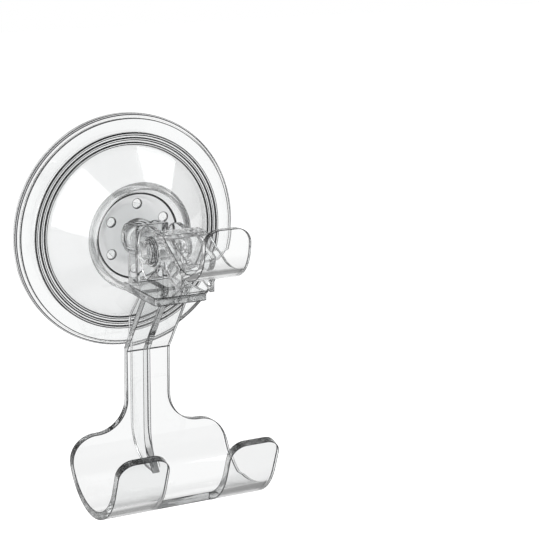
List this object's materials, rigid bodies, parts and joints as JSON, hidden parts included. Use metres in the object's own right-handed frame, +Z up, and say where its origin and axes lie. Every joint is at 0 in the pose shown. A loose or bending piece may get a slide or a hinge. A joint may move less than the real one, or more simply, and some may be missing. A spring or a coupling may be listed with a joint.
{
  "type": "razor holder",
  "caption": "Clear wall-held razor holder: lever-locked suction cup with a hook on the lever and a bent arm that carries a two-lipped cradle.",
  "frame": {"origin": "centre of the suction pad's sealing face, on the wall plane", "axes": "+Y into the wall, -Y out of it towards the user, +Z up, +X to the right as the user faces the wall"},
  "size_m": [0.07, 0.0688, 0.1103],
  "materials": {
    "soft_clear": "soft clear plastic, glossy",
    "hard_clear": "clear plastic, polished"
  },
  "bodies": {
    "cup": {"suction_pad": "soft_clear", "pull_stem": "hard_clear"},
    "lever": {"lever_hook": "hard_clear", "hinge_pin": "hard_clear"},
    "holder": {"dome_housing": "hard_clear", "razor_arm": "hard_clear"}
  },
  "joints": [
    {"name": "lever_lift", "type": "hinge", "parent": "cup", "child": "lever", "pos_m": [0, -0.031, 0.0002], "axis": [-1, 0, 0], "range_deg": [0, 90]},
    {"name": "housing_slide", "type": "slide", "parent": "cup", "child": "holder", "axis": [0, -1, 0], "range_m": [0, 0.003]}
  ],
  "couplings": [
    {"joint": "lever_lift", "follows": "housing_slide", "rad_per_m": 523.59}
  ]
}
